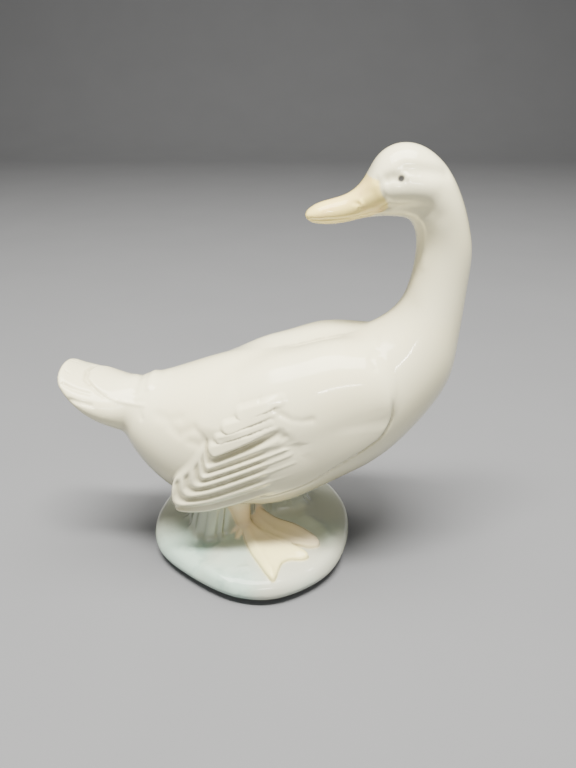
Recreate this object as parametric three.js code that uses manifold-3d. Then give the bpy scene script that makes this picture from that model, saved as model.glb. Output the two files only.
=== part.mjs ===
// Porcelain goose figurine: a standing goose that looks back over its own tail, cast in one piece
// with its legs, webbed feet, a clump of grass under the belly and an oval mound as its base.
// Millimetres. X runs from the tail to the breast, Y to the far side, Z up; the foot stands at Z 0.
import * as THREE from 'three';
import { LoftGeometry } from 'three/addons/geometries/LoftGeometry.js';
import { mergeVertices } from 'three/addons/utils/BufferGeometryUtils.js';
import Module from 'manifold-3d';

const wasm = await Module();
wasm.setup();

// Goose, a loft of ovals from the rump over the breast and up the neck to the tip of the bill.
// Each row: back edge x, z; belly edge x, z; half width.
const BODY_ROWS = [
  [-50, 73.5, -53, 57, 9],
  [-42, 75, -49.2, 48.4, 15.5],
  [-30, 78.4, -41.8, 37.6, 21],
  [-15, 83, -30, 28.2, 26],
  [0, 86.5, -12, 24, 28.6],
  [15, 88.5, 7.8, 24.5, 29.2],
  [29, 91.5, 28.4, 34.4, 28],
  [40.3, 95.6, 46.4, 44.4, 24.5],
  [48.3, 100.6, 61, 59.2, 20.5],
];
const NECK_ROWS = [
  [53, 107, 71.2, 75.6, 16.6],
  [55.1, 114.8, 73.7, 93, 13],
  [55.9, 121.5, 74.8, 110, 11],
  [55.9, 127, 75.4, 124, 10.2],
];
const HEAD_ROWS = [
  [54.9, 131.6, 72.9, 134.5, 10.4],
  [52.3, 135.1, 69.5, 143.5, 11.2],
  [48.5, 136, 63.6, 153.1, 11.8],
  [44, 136.1, 55.1, 159.3, 11.9],
  [40, 135.9, 46.9, 159.9, 11],
  [36.6, 135.3, 40.7, 156, 9.1],
  [33.9, 134.6, 37.3, 148.5, 7.1],
];
const BILL_ROWS = [
  [30.6, 133.8, 32.7, 143.7, 5.9],
  [26, 133.2, 27.1, 141.8, 5.4],
  [21.5, 133.2, 22, 140.6, 5.4],
  [18.3, 133.7, 18.8, 139.1, 4.6],
  [17, 135.4, 17.1, 137.2, 2.2],
];
const GOOSE_SECTIONS = 60;
const GOOSE_SIDES = 26;

// Tail fan, from its tip to inside the rump, rows as above.
const TAIL_ROWS = [
  [-74.3, 79.7, -74.3, 76.2, 5],
  [-72.3, 80.9, -72.4, 72.8, 10.8],
  [-67.4, 78.7, -68.5, 67.9, 14.6],
  [-61, 76.9, -63.4, 62.4, 16.4],
  [-53, 74.8, -57, 57.6, 15.5],
  [-44, 74.6, -50, 54, 13],
  [-34, 76, -40, 54, 10],
];
const TAIL_SECTIONS = 13;
const TAIL_SIDES = 18;

// Folded wing, upright ovals from its tip to the shoulder.
// Each row: x; top z; bottom z; half width; distance of the oval's centre from the middle plane.
const WING_ROWS = [
  [-32.5, 43, 33.5, 1.5, 23],
  [-31, 48, 30, 4, 21.5],
  [-24, 61, 28, 9.5, 17.8],
  [-14, 75.5, 28.8, 14.2, 15.2],
  [0, 85, 32.5, 17.6, 13],
  [12, 89.3, 39, 19.2, 11.6],
  [24, 93, 46, 19.4, 11],
  [34, 93.2, 52.5, 17.6, 10.8],
  [42, 90.5, 59, 15.2, 11.2],
  [48, 83, 66.5, 10.6, 13.2],
  [50, 77.5, 71.5, 3.5, 15.5],
];
// Exponent of the superellipse that the ovals follow above and below their centre.
const WING_FULLNESS = { above: 2, below: 2.7 };
const WING_SECTIONS = 24;
const WING_SIDES = 18;

// Long feathers at the lower wing: ridges in a row, from the tip end to the blunt front end.
const LONG_FEATHERS = 6;
const LONG_TOP_LINE = { z: 63.1, slope: 0.5 };
const LONG_BOTTOM_LINE = { z: 37.2, slope: 0.32 };
const LONG_TIP_X = { first: -17, last: -30.5 };
const LONG_FRONT_X = { first: 10, last: 15 };
// Short feathers above them.
const SHORT_FEATHERS = 4;
const SHORT_TOP_LINE = { z: 78.4, slope: 0.42 };
const SHORT_TIP_X = { first: -5.5, last: -17 };
const SHORT_FRONT_X = { first: 8, last: 9 };
const FEATHER_RISE = 1.2;
const FEATHER_DEPTH = 1.8;
const FEATHER_FULLNESS = 4;
const FEATHER_END_SHARE = 0.08;
const FEATHER_SECTIONS = 6;
const FEATHER_SIDES = 8;

// Base, a mound whose widest outline is a smooth closed curve through these plan points.
const BASE_OUTLINE = [
  [-44.8, 8.5], [-41, -12.6], [-26.6, -28.5], [-8.4, -39.7], [9, -39.9], [26.9, -27.3],
  [35.7, -6], [35.9, 17.5], [26, 35.6], [4, 42], [-18, 40], [-37.8, 29.6],
];
// Rim profile: inset from that outline, z.
const BASE_PROFILE = [
  [5, 0], [3, 1.1], [1.3, 2.4], [0.3, 3.8], [0, 5.3],
  [0.8, 7.4], [2.6, 9], [5.4, 9.9], [11, 10.4], [22, 11.2],
];
const BASE_SIDES = 40;
// Underside: a recess inside the foot ring, as an inset from the same outline, and a vent hole.
const RECESS_INSET = 9;
const RECESS_HEIGHT = 1.2;
const VENT_RADIUS = 2.5;
const VENT_DEPTH = 6;
const VENT_SIDES = 16;
const CUT_MARGIN = 1;

// Clump of grass that carries the belly, with upright blades as flutes around it.
const CLUMP_OUTLINE = [
  [-31, 0], [-27, -12.5], [-18.5, -16], [-9, -9], [1, 1.5], [12, 4.5], [19.5, 10],
  [18, 22], [2, 28], [-16, 26], [-28, 15],
];
const CLUMP_TOP_Z = 34;
const CLUMP_TOP_SCALE = 0.8;
const BLADES = 26;
const BLADE_INSETS = [1.8, 0.5, 0, 0.5];

// Legs and feet. In plan: the hip, the ankle, the toe tips and the tip of the small hind toe.
const ANKLE_Z = 12.2;
const HIP_Z = 31;
const LEG_RADIUS = { hip: 5.6, ankle: 2.6 };
const LEG_SIDES = 12;
const LEG_STATIONS = [0, 0.5, 1];
const LEG_FOOT_Z = 9.4;
const TOE_Z = 10.4;
const TOE_RADIUS = { ankle: 2.4, tip: 1.5 };
const TOE_SECTIONS = 4;
const TOE_SIDES = 8;
const WEB_BOTTOM_Z = 9;
const WEB_TOP_Z = 11.4;
const WEB_NOTCH = 0.8;
const NOTCH_SEGMENTS = 6;
const FEET = {
  near: { hip: [-9.5, -9], ankle: [-6.5, -8], toes: [[4.9, -35.5], [17.2, -24.6]], hind: [-12.6, -11] },
  far: { hip: [-6, 8], ankle: [-1.5, 0.5], toes: [[10.5, -15.5], [21.5, -17.5], [20, -9.5]], hind: [-6, 5] },
};

// Vertices nearer than this are one; the search for a wing section ends within this share.
const JOIN_DISTANCE = 1e-4;
const SEARCH_END = 1e-6;

const PORCELAIN = { color: 0xe9e8e0, roughness: 0.14, metalness: 0 };

// Smooth curve through rows of numbers: value at u between 0 and 1, spaced by the rows' distance.
function rowCurve(rows) {
  const at = [0];
  for (let i = 1; i < rows.length; i += 1) {
    at.push(at[i - 1] + Math.hypot(...rows[i].map((value, k) => value - rows[i - 1][k])));
  }
  const slope = rows.map((row, i) => {
    const a = Math.max(i - 1, 0);
    const b = Math.min(i + 1, rows.length - 1);
    return row.map((_, k) => (rows[b][k] - rows[a][k]) / (at[b] - at[a]));
  });
  return (u) => {
    const s = u * at[at.length - 1];
    let i = 0;
    while (i < rows.length - 2 && s > at[i + 1]) i += 1;
    const span = at[i + 1] - at[i];
    const t = (s - at[i]) / span;
    const rise = t * t * (3 - 2 * t);
    return rows[i].map((value, k) => value + (rows[i + 1][k] - value) * rise
      + span * t * (1 - t) * ((1 - t) * slope[i][k] - t * slope[i + 1][k]));
  };
}

function sample(count, make) {
  return Array.from({ length: count }, (_, i) => make(i));
}

// Closed solid from the faces of a geometry, with its vertices joined.
function solid(geometry) {
  const bare = new THREE.BufferGeometry();
  bare.setAttribute('position', geometry.attributes.position);
  bare.setIndex(geometry.index);
  const joined = mergeVertices(bare, JOIN_DISTANCE);
  return new wasm.Manifold(new wasm.Mesh({
    numProp: 3,
    vertProperties: joined.attributes.position.array,
    triVerts: joined.index.array,
  }));
}

function loft(sections) {
  return solid(new LoftGeometry(sections, { capStart: true, capEnd: true }));
}

function union(solids) {
  return solids.reduce((whole, next) => whole.add(next));
}

// Loft of ovals between two edges that both lie in the middle plane.
function twoEdgeLoft(rows, sectionCount, sides) {
  const curve = rowCurve(rows);
  return loft(sample(sectionCount, (i) => {
    const [topX, topZ, bottomX, bottomZ, halfWidth] = curve(i / (sectionCount - 1));
    return sample(sides, (j) => {
      const angle = (j / sides) * 2 * Math.PI;
      const share = (1 + Math.cos(angle)) / 2;
      return new THREE.Vector3(
        bottomX + (topX - bottomX) * share,
        -halfWidth * Math.sin(angle),
        bottomZ + (topZ - bottomZ) * share,
      );
    });
  }));
}

const wingCurve = rowCurve(WING_ROWS);

// Sine or cosine pushed outwards to the superellipse of an exponent.
function fuller(value, exponent) {
  return Math.sign(value) * Math.abs(value) ** (2 / exponent);
}

function wing(side) {
  return loft(sample(WING_SECTIONS, (i) => {
    const [x, topZ, bottomZ, halfWidth, centre] = wingCurve(i / (WING_SECTIONS - 1));
    return sample(WING_SIDES, (j) => {
      const angle = (j / WING_SIDES) * 2 * Math.PI;
      const exponent = Math.cos(angle) < 0 ? WING_FULLNESS.below : WING_FULLNESS.above;
      const z = (topZ + bottomZ) / 2 + ((topZ - bottomZ) / 2) * fuller(Math.cos(angle), exponent);
      return new THREE.Vector3(x, side * centre - halfWidth * fuller(Math.sin(angle), exponent), z);
    });
  }));
}

// Distance of the wing's outer face from the middle plane at a place in side view.
function wingReach(x, z) {
  let low = 0;
  let high = 1;
  while (high - low > SEARCH_END) {
    const middle = (low + high) / 2;
    if (wingCurve(middle)[0] < x) low = middle;
    else high = middle;
  }
  const [, topZ, bottomZ, halfWidth, centre] = wingCurve(low);
  const height = (2 * z - topZ - bottomZ) / (topZ - bottomZ);
  const exponent = height < 0 ? WING_FULLNESS.below : WING_FULLNESS.above;
  return centre + halfWidth * Math.max(0, 1 - Math.abs(height) ** exponent) ** (1 / exponent);
}

// Ridge of one feather on the wing's face: rounded, as wide as its share of the feather row.
function feather(side, path, halfPitch) {
  return loft(sample(FEATHER_SECTIONS, (i) => {
    const t = i / (FEATHER_SECTIONS - 1);
    const taper = Math.sqrt(Math.sin(Math.PI * (FEATHER_END_SHARE + (1 - 2 * FEATHER_END_SHARE) * t)));
    const [x, z] = path(t);
    return sample(FEATHER_SIDES, (j) => {
      const angle = (j / FEATHER_SIDES) * 2 * Math.PI;
      const height = halfPitch(x) * taper * Math.cos(angle);
      const y = side * (wingReach(x, z + height) + FEATHER_RISE - FEATHER_DEPTH)
        - FEATHER_DEPTH * taper * fuller(Math.sin(angle), FEATHER_FULLNESS);
      return new THREE.Vector3(x, y, z + height);
    });
  }));
}

function featherRow(side, count, top, bottom, tipX, frontX) {
  const lineZ = (line, x) => line.z + line.slope * x;
  const halfPitch = (x) => (lineZ(top, x) - lineZ(bottom, x)) / count / 2;
  return sample(count, (i) => {
    const share = (i + 0.5) / count;
    const x0 = tipX.first + (tipX.last - tipX.first) * share;
    const x1 = frontX.first + (frontX.last - frontX.first) * share;
    const path = (t) => {
      const x = x0 + (x1 - x0) * t;
      return [x, lineZ(top, x) + (lineZ(bottom, x) - lineZ(top, x)) * share];
    };
    return feather(side, path, halfPitch);
  });
}

function featheredWing(side) {
  return union([
    wing(side),
    ...featherRow(side, LONG_FEATHERS, LONG_TOP_LINE, LONG_BOTTOM_LINE, LONG_TIP_X, LONG_FRONT_X),
    ...featherRow(side, SHORT_FEATHERS, SHORT_TOP_LINE, LONG_TOP_LINE, SHORT_TIP_X, SHORT_FRONT_X),
  ]);
}

// Points along a smooth closed plan outline, counter-clockwise from above.
function closedOutline(points, sides) {
  const corners = points.map(([x, y]) => new THREE.Vector3(x, y, 0));
  return new THREE.CatmullRomCurve3(corners, true).getSpacedPoints(sides).slice(0, sides);
}

// The outline moved inwards by an inset, at a height.
function insetOutline(outline, inset, z) {
  return outline.map((point, i) => {
    const before = outline[(i + outline.length - 1) % outline.length];
    const after = outline[(i + 1) % outline.length];
    const along = after.clone().sub(before).normalize();
    return new THREE.Vector3(point.x - along.y * inset, point.y + along.x * inset, z);
  });
}

function base() {
  const outline = closedOutline(BASE_OUTLINE, BASE_SIDES);
  const mound = loft(BASE_PROFILE.map(([inset, z]) => insetOutline(outline, inset, z)));
  const recess = loft([-CUT_MARGIN, RECESS_HEIGHT].map((z) => insetOutline(outline, RECESS_INSET, z)));
  const ventHeight = VENT_DEPTH + CUT_MARGIN;
  const vent = new THREE.CylinderGeometry(VENT_RADIUS, VENT_RADIUS, ventHeight, VENT_SIDES);
  vent.rotateX(Math.PI / 2).translate(0, 0, VENT_DEPTH - ventHeight / 2);
  return mound.subtract(recess).subtract(solid(vent));
}

function clump() {
  const outline = closedOutline(CLUMP_OUTLINE, BLADES * BLADE_INSETS.length);
  const fluted = outline.map((_, i) => insetOutline(outline, BLADE_INSETS[i % BLADE_INSETS.length], 0)[i]);
  const low = fluted.map((point) => point.clone().setZ(WEB_BOTTOM_Z));
  const high = fluted.map((point) => point.clone().multiplyScalar(CLUMP_TOP_SCALE).setZ(CLUMP_TOP_Z));
  return loft([low, high]);
}

function leg(foot) {
  return loft(LEG_STATIONS.map((t) => sample(LEG_SIDES, (j) => {
    const angle = (j / LEG_SIDES) * 2 * Math.PI;
    const radius = LEG_RADIUS.ankle + (LEG_RADIUS.hip - LEG_RADIUS.ankle) * t * t;
    return new THREE.Vector3(
      foot.ankle[0] + (foot.hip[0] - foot.ankle[0]) * t + radius * Math.cos(angle),
      foot.ankle[1] + (foot.hip[1] - foot.ankle[1]) * t + radius * Math.sin(angle),
      LEG_FOOT_Z + (HIP_Z - LEG_FOOT_Z) * t,
    );
  })));
}

// Toe as a tapered round bar that slopes down from the ankle to its tip.
function toe(ankle, tip) {
  const along = new THREE.Vector2(tip[0] - ankle[0], tip[1] - ankle[1]).normalize();
  return loft(sample(TOE_SECTIONS, (i) => {
    const t = i / (TOE_SECTIONS - 1);
    const radius = TOE_RADIUS.ankle + (TOE_RADIUS.tip - TOE_RADIUS.ankle) * t;
    const x = ankle[0] + (tip[0] - ankle[0]) * t;
    const y = ankle[1] + (tip[1] - ankle[1]) * t;
    const z = ANKLE_Z + (TOE_Z - ANKLE_Z) * Math.sqrt(t);
    return sample(TOE_SIDES, (j) => {
      const angle = (j / TOE_SIDES) * 2 * Math.PI;
      const across = radius * Math.cos(angle);
      return new THREE.Vector3(x - along.y * across, y + along.x * across, z + radius * Math.sin(angle));
    });
  }));
}

// Web between the toes, with a round notch in its edge between each two toe tips.
function web(foot) {
  const outline = new THREE.Shape();
  const [ankleX, ankleY] = foot.ankle;
  outline.moveTo(ankleX, ankleY);
  outline.lineTo(...foot.toes[0]);
  for (let i = 1; i < foot.toes.length; i += 1) {
    const [fromX, fromY] = foot.toes[i - 1];
    const [toX, toY] = foot.toes[i];
    const notchX = ankleX + ((fromX + toX) / 2 - ankleX) * WEB_NOTCH;
    const notchY = ankleY + ((fromY + toY) / 2 - ankleY) * WEB_NOTCH;
    outline.quadraticCurveTo(notchX, notchY, toX, toY);
  }
  outline.closePath();
  const sheet = new THREE.ExtrudeGeometry(outline, {
    depth: WEB_TOP_Z - WEB_BOTTOM_Z,
    bevelEnabled: false,
    curveSegments: NOTCH_SEGMENTS,
  });
  return solid(sheet.translate(0, 0, WEB_BOTTOM_Z));
}

function footAndLeg(foot) {
  return union([
    leg(foot),
    web(foot),
    ...foot.toes.map((tip) => toe(foot.ankle, tip)),
    toe(foot.ankle, foot.hind),
  ]);
}

const whole = union([
  twoEdgeLoft([...BODY_ROWS, ...NECK_ROWS, ...HEAD_ROWS, ...BILL_ROWS], GOOSE_SECTIONS, GOOSE_SIDES),
  twoEdgeLoft(TAIL_ROWS, TAIL_SECTIONS, TAIL_SIDES),
  featheredWing(-1),
  featheredWing(1),
  base(),
  clump(),
  footAndLeg(FEET.near),
  footAndLeg(FEET.far),
]);

const faces = whole.getMesh();
const geometry = new THREE.BufferGeometry();
geometry.setAttribute('position', new THREE.BufferAttribute(faces.vertProperties, 3));
geometry.setIndex(new THREE.BufferAttribute(faces.triVerts, 1));
geometry.computeVertexNormals();

const goose = new THREE.Mesh(geometry, new THREE.MeshStandardMaterial(PORCELAIN));
goose.name = 'goose_figurine';

// The middle of the figurine's length and depth stands over the origin.
geometry.computeBoundingBox();
const middle = geometry.boundingBox.getCenter(new THREE.Vector3());
goose.position.set(-middle.x, -middle.y, 0);

const figurine = new THREE.Group();
figurine.add(goose);

export default figurine;
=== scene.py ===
"""Looks of a glazed porcelain goose figurine: the goose, its feet, the grass under the belly and
the mound are one continuous casting, modelled as one smooth surface with its feather relief."""
import math
import bpy
import numpy as np
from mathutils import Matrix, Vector


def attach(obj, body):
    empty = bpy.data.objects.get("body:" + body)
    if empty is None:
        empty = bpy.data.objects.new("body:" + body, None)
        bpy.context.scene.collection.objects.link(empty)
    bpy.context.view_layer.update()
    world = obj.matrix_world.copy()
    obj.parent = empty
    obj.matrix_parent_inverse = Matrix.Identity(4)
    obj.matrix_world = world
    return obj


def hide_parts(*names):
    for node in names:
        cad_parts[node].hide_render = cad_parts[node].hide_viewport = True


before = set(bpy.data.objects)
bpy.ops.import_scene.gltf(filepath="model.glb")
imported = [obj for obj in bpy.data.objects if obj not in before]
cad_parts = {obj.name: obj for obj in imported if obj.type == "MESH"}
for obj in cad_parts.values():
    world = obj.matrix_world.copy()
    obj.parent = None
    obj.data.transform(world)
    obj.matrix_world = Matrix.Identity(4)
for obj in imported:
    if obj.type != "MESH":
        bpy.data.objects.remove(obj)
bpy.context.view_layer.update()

# The shape is worked out in millimetres, X from tail to breast, Y to the far side, Z up.
# These are the middle of its length and depth, which stands over the frame's origin.
MIDDLE_X = 0.57
MIDDLE_Y = 0.61
MM = 0.001

# Goose, ovals from the rump over the breast and up the neck to the tip of the bill.
# Each row: back edge x, z; belly edge x, z; half width.
BODY_ROWS = [
    [-50, 73.5, -53, 57, 9],
    [-42, 75, -49.2, 48.4, 15.5],
    [-30, 78.4, -41.8, 37.6, 21],
    [-15, 83, -30, 28.2, 26],
    [0, 86.5, -12, 24, 28.6],
    [15, 88.5, 7.8, 24.5, 29.2],
    [29, 91.5, 28.4, 34.4, 28],
    [40.3, 95.6, 46.4, 44.4, 24.5],
    [48.3, 100.6, 61, 59.2, 20.5],
]
NECK_ROWS = [
    [53, 107, 71.2, 75.6, 16.6],
    [55.1, 114.8, 73.7, 93, 13],
    [55.9, 121.5, 74.8, 110, 11],
    [55.9, 127, 75.4, 124, 10.2],
]
HEAD_ROWS = [
    [54.9, 131.6, 72.9, 134.5, 10.4],
    [52.3, 135.1, 69.5, 143.5, 11.2],
    [48.5, 136, 63.6, 153.1, 11.8],
    [44, 136.1, 55.1, 159.3, 11.9],
    [40, 135.9, 46.9, 159.9, 11],
    [36.6, 135.3, 40.7, 156, 9.1],
    [33.9, 134.6, 37.3, 148.5, 7.1],
]
BILL_ROWS = [
    [30.6, 133.8, 32.7, 143.7, 5.9],
    [26, 133.2, 27.1, 141.8, 5.4],
    [21.5, 133.2, 22, 140.6, 5.4],
    [18.3, 133.7, 18.8, 139.1, 4.6],
    [17, 135.4, 17.1, 137.2, 2.2],
]
# Tail fan from its tip into the rump, rows as above.
TAIL_ROWS = [
    [-74.3, 79.7, -74.3, 76.2, 5],
    [-72.3, 80.9, -72.4, 72.8, 10.8],
    [-67.4, 78.7, -68.5, 67.9, 14.6],
    [-61, 76.9, -63.4, 62.4, 16.4],
    [-53, 74.8, -57, 57.6, 15.5],
    [-44, 74.6, -50, 54, 13],
    [-34, 76, -40, 54, 10],
]
# Folded wing, upright ovals. Each row: x; top z; bottom z; half width; centre's distance from the middle.
WING_ROWS = [
    [-32.5, 43, 33.5, 1.5, 23],
    [-31, 48, 30, 4, 21.5],
    [-24, 61, 28, 9.5, 17.8],
    [-14, 75.5, 28.8, 14.2, 15.2],
    [0, 85, 32.5, 17.6, 13],
    [12, 89.3, 39, 19.2, 11.6],
    [24, 93, 46, 19.4, 11],
    [34, 93.2, 52.5, 17.6, 10.8],
    [42, 90.5, 59, 15.2, 11.2],
    [48, 83, 66.5, 10.6, 13.2],
    [50, 77.5, 71.5, 3.5, 15.5],
]
# Exponent of the superellipse that the wing's ovals follow above and below their centre.
WING_FULLNESS = {"above": 2.0, "below": 2.7}
# Border of the folded wing in side view, from the back over the wing tip to the shoulder.
WING_OUTLINE = [
    (-26, 82), (-24, 72), (-18.3, 65.5), (-20, 60), (-25, 52.5), (-30.5, 45), (-32, 38),
    (-31.4, 32.5), (-29, 29.6), (-25, 28.6), (-18.6, 29.3), (-13, 30.7), (-7, 33.2), (0, 36.7),
    (8.3, 40.2), (15, 43.2), (21, 46.6), (29.8, 53), (38.3, 58.4), (44, 62.8), (47, 68.5),
    (47.4, 74.1), (46, 81), (42, 90), (34, 99), (-5, 99), (-20, 93),
]
WING_EDGE_ROUNDING = 1.6
# How far the wing stands out from the breast and sinks into the back, and the heights and x
# between which one goes over into the other.
PLATE = {"rise": 1.5, "sink": 6, "z": (66, 88), "x": (-14, 6), "fillet": 1}

# Grooves between the long wing feathers, which lie nested like a row of letters J; the wing's
# lower border comes last. Each: height at x = 0, rise along x, flattening towards the tip,
# x of the upturned end, depth, x of the feather's rounded front end.
LONG_GROOVES = [
    (63.2, 0.5, 0, -17.6, 1.3, 7),
    (58.2, 0.44, 0, -19.2, 1, 8),
    (55.4, 0.46, 0.005, -21.4, 1, 12),
    (52, 0.46, 0.0115, -25.6, 1.1, 12),
    (47.9, 0.46, 0.0115, -29.4, 1.2, 15),
    (42.8, 0.42, 0.0117, -34, 1.1, 15.5),
    (36.6, 0.45, 0.032, -38, 1, 14),
]
# Behind this x they flatten towards the tip.
FLAT_BEFORE_X = -15
LONG_PITCH = 4.3
# Share of its depth that a groove loses over this stretch of x at its front end.
FRONT_LOSS = 0.4
FRONT_LOSS_X = (-5, 2)
# Soft hollow just beyond the front ends; it begins and ends over these feather numbers.
FRONT_HOLLOW = {"depth": 0.7, "ahead": 3, "half_width": 2.5, "begins": (0, 1), "ends": (3, 5)}
# Line above which the upturned grooves fade out: x, z.
UPTURN_TOPS = [(-31, 43.5), (-25.5, 48), (-21.4, 53), (-19, 57), (-17.5, 62.5)]
# That fade, by height over the line, feather number and x.
UPTURN_FADE = {"z": (-1.5, 1.5), "feather": (0.3, 0.7), "x": (-16, -13)}

# Short feathers over them like tiles. Each: middle of the round tip, its radius, front end, its radius.
SHORT_FEATHERS = [
    ((-14.4, 60), 3.1, (6, 68.6), 1.9),
    ((-12.6, 64.2), 2.5, (5, 71.2), 1.8),
    ((-9.6, 68.4), 2.9, (7, 75.2), 1.9),
    ((-4.4, 73.2), 3.1, (9, 78.8), 2.2),
]
SHORT_RISE = 1.1
# Distances from its outline between which a short feather rises, the share of its height that it
# loses over these shares of its length, and where on the flank it begins.
SHORT_EDGE = (-1.6, 0.3)
SHORT_LOSS = 0.8
SHORT_LOSS_SHARE = (0.5, 1.1)
SHORT_FLANK_Y = (8, 14)

# Base and grass clump in plan, and the base's rim and underside as inset from its outline and height.
BASE_OUTLINE = [
    (-44.8, 8.5), (-41, -12.6), (-26.6, -28.5), (-8.4, -39.7), (9, -39.9), (26.9, -27.3),
    (35.7, -6), (35.9, 17.5), (26, 35.6), (4, 42), (-18, 40), (-37.8, 29.6),
]
BASE_RIM = [
    (5, 0), (3, 1.1), (1.3, 2.4), (0.3, 3.8), (0, 5.3), (0.8, 7.4), (2.6, 9), (5.4, 9.9), (11, 10.4),
    (22, 11.2),
]
BASE_UNDERSIDE = [(60, 11.7), (60, 1.2), (9.6, 1.2), (9, 0.6), (8.4, 0)]
CLUMP_OUTLINE = [
    (-31, 0), (-27, -12.5), (-18.5, -16), (-9, -9), (1, 1.5), (12, 4.5), (19.5, 10),
    (18, 22), (2, 28), (-16, 26), (-28, 15),
]
CLUMP_FOOT_Z = 9
CLUMP_TOP_Z = 34
CLUMP_TOP_SCALE = 0.8
# The taper goes on past the clump's foot and top as far as these shares of its height.
CLUMP_TAPER = (-0.3, 1.2)
CLUMP_SUNK = 3
CLUMP_ROUNDING = 1
BLADES = 20
BLADE_DEPTH = 1.1
# Unevenness of the blades round the clump: size in blades, half waves.
BLADE_WAVES = [(0.35, 12), (0.2, 34)]
VENT_RADIUS = 2.5
VENT_TOP_Z = 6
VENT_ROUNDING = 0.6


def lengths(vectors):
    return np.linalg.norm(vectors, axis=1)


# Smooth curve through rows of numbers, as evenly spaced samples.
def row_curve(rows, count):
    rows = np.array(rows, float)
    at = np.concatenate([[0], np.cumsum(lengths(np.diff(rows, axis=0)))])
    first = np.maximum(np.arange(len(rows)) - 1, 0)
    last = np.minimum(np.arange(len(rows)) + 1, len(rows) - 1)
    slope = (rows[last] - rows[first]) / (at[last] - at[first])[:, None]
    s = np.linspace(0, at[-1], count)
    i = np.clip(np.searchsorted(at, s, side="right") - 1, 0, len(rows) - 2)
    span = (at[i + 1] - at[i])[:, None]
    t = (s[:, None] - at[i][:, None]) / span
    rise = t * t * (3 - 2 * t)
    bend = span * t * (1 - t) * ((1 - t) * slope[i] - t * slope[i + 1])
    return rows[i] + (rows[i + 1] - rows[i]) * rise + bend


# Gaussian softening of a sampled curve, so that a glossy surface shows no kink at the rows.
def soften(curve, samples):
    reach = np.arange(-3 * samples, 3 * samples + 1)
    weight = np.exp(-0.5 * (reach / samples) ** 2)
    padded = np.pad(curve, ((3 * samples, 3 * samples), (0, 0)), mode="reflect", reflect_type="odd")
    columns = [np.convolve(column, weight / weight.sum(), mode="valid") for column in padded.T]
    return np.stack(columns, axis=1)


# Smooth closed outline through plan or side-view points.
def closed_curve(points, count):
    points = np.array(points, float)
    n = len(points)
    u = np.arange(count) * n / count
    i = u.astype(int)
    t = (u - i)[:, None]
    p0, p1, p2, p3 = (points[(i + k) % n] for k in (-1, 0, 1, 2))
    return 0.5 * (2 * p1 + (p2 - p0) * t + (2 * p0 - 5 * p1 + 4 * p2 - p3) * t**2
                  + (3 * p1 - p0 - 3 * p2 + p3) * t**3)


# Smooth rise from 0 at the low value to 1 at the high value.
def ramp(low, high, value):
    t = np.clip((value - low) / (high - low), 0, 1)
    return t * t * (3 - 2 * t)


# A field gives each point its rough distance from a surface in millimetres, negative inside.
# This is the union of two fields with a soft fillet, as wide as the glaze would fill.
def join(a, b, fillet):
    share = np.clip(0.5 + 0.5 * (b - a) / fillet, 0, 1)
    return b + (a - b) * share - fillet * share * (1 - share)


# Overlap of two fields with a rounded edge.
def meet(a, b, rounding):
    return -join(-a, -b, rounding)


FARTHEST = 1e9
SMALLEST = 1e-3


# Distance to a closed outline of corner points, negative inside.
def outline_field(corners, x, y):
    nearest = np.full(x.shape, FARTHEST)
    inside = np.zeros(x.shape, bool)
    for (ax, ay), (bx, by) in zip(corners, np.roll(corners, -1, axis=0)):
        ex, ey = bx - ax, by - ay
        px, py = x - ax, y - ay
        t = np.clip((px * ex + py * ey) / (ex * ex + ey * ey), 0, 1)
        nearest = np.minimum(nearest, (px - ex * t) ** 2 + (py - ey * t) ** 2)
        crosses = (ay > y) != (by > y)
        inside ^= crosses & (px * (by - ay) < ex * py if by > ay else px * (by - ay) > ex * py)
    return np.where(inside, -1, 1) * np.sqrt(nearest)


# Both coordinates of the places of an even grid.
def flat_grid(low, size, step):
    return np.meshgrid(*(low[k] + step * np.arange(size[k]) for k in (0, 1)), indexing="ij")


# Distance to a closed outline, sampled on a fine grid once and read back smoothly.
class OutlineMap:
    def __init__(self, corners, low, high, step):
        self.low, self.step = np.array(low, float), step
        self.size = ((np.array(high) - low) / step).astype(int) + 1
        self.values = outline_field(corners, *flat_grid(self.low, self.size, step))

    def __call__(self, x, y):
        u = np.clip((x - self.low[0]) / self.step, 0, self.size[0] - 1.001)
        v = np.clip((y - self.low[1]) / self.step, 0, self.size[1] - 1.001)
        i, j = u.astype(int), v.astype(int)
        s, t = u - i, v - j
        near = self.values[i, j] * (1 - t) + self.values[i, j + 1] * t
        far = self.values[i + 1, j] * (1 - t) + self.values[i + 1, j + 1] * t
        return near * (1 - s) + far * s


# Tapered round bar from one point to another.
def bar_field(p, start, end, start_radius, end_radius):
    start, end = np.array(start, float), np.array(end, float)
    along = end - start
    t = np.clip((p - start) @ along / (along @ along), 0, 1)
    return lengths(p - start - t[:, None] * along) - (start_radius + (end_radius - start_radius) * t)


# Value read from a table of pairs, straight between them.
def look_up(value, table):
    return np.interp(value, *np.array(table, float).T)


# Distance from the nearest stretch of a line through points.
def line_distance(p, points):
    return np.minimum.reduce([bar_field(p, a, b, 0, 0) for a, b in zip(points, points[1:])])


def bell(offset):
    return np.exp(-(offset**2))


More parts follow.
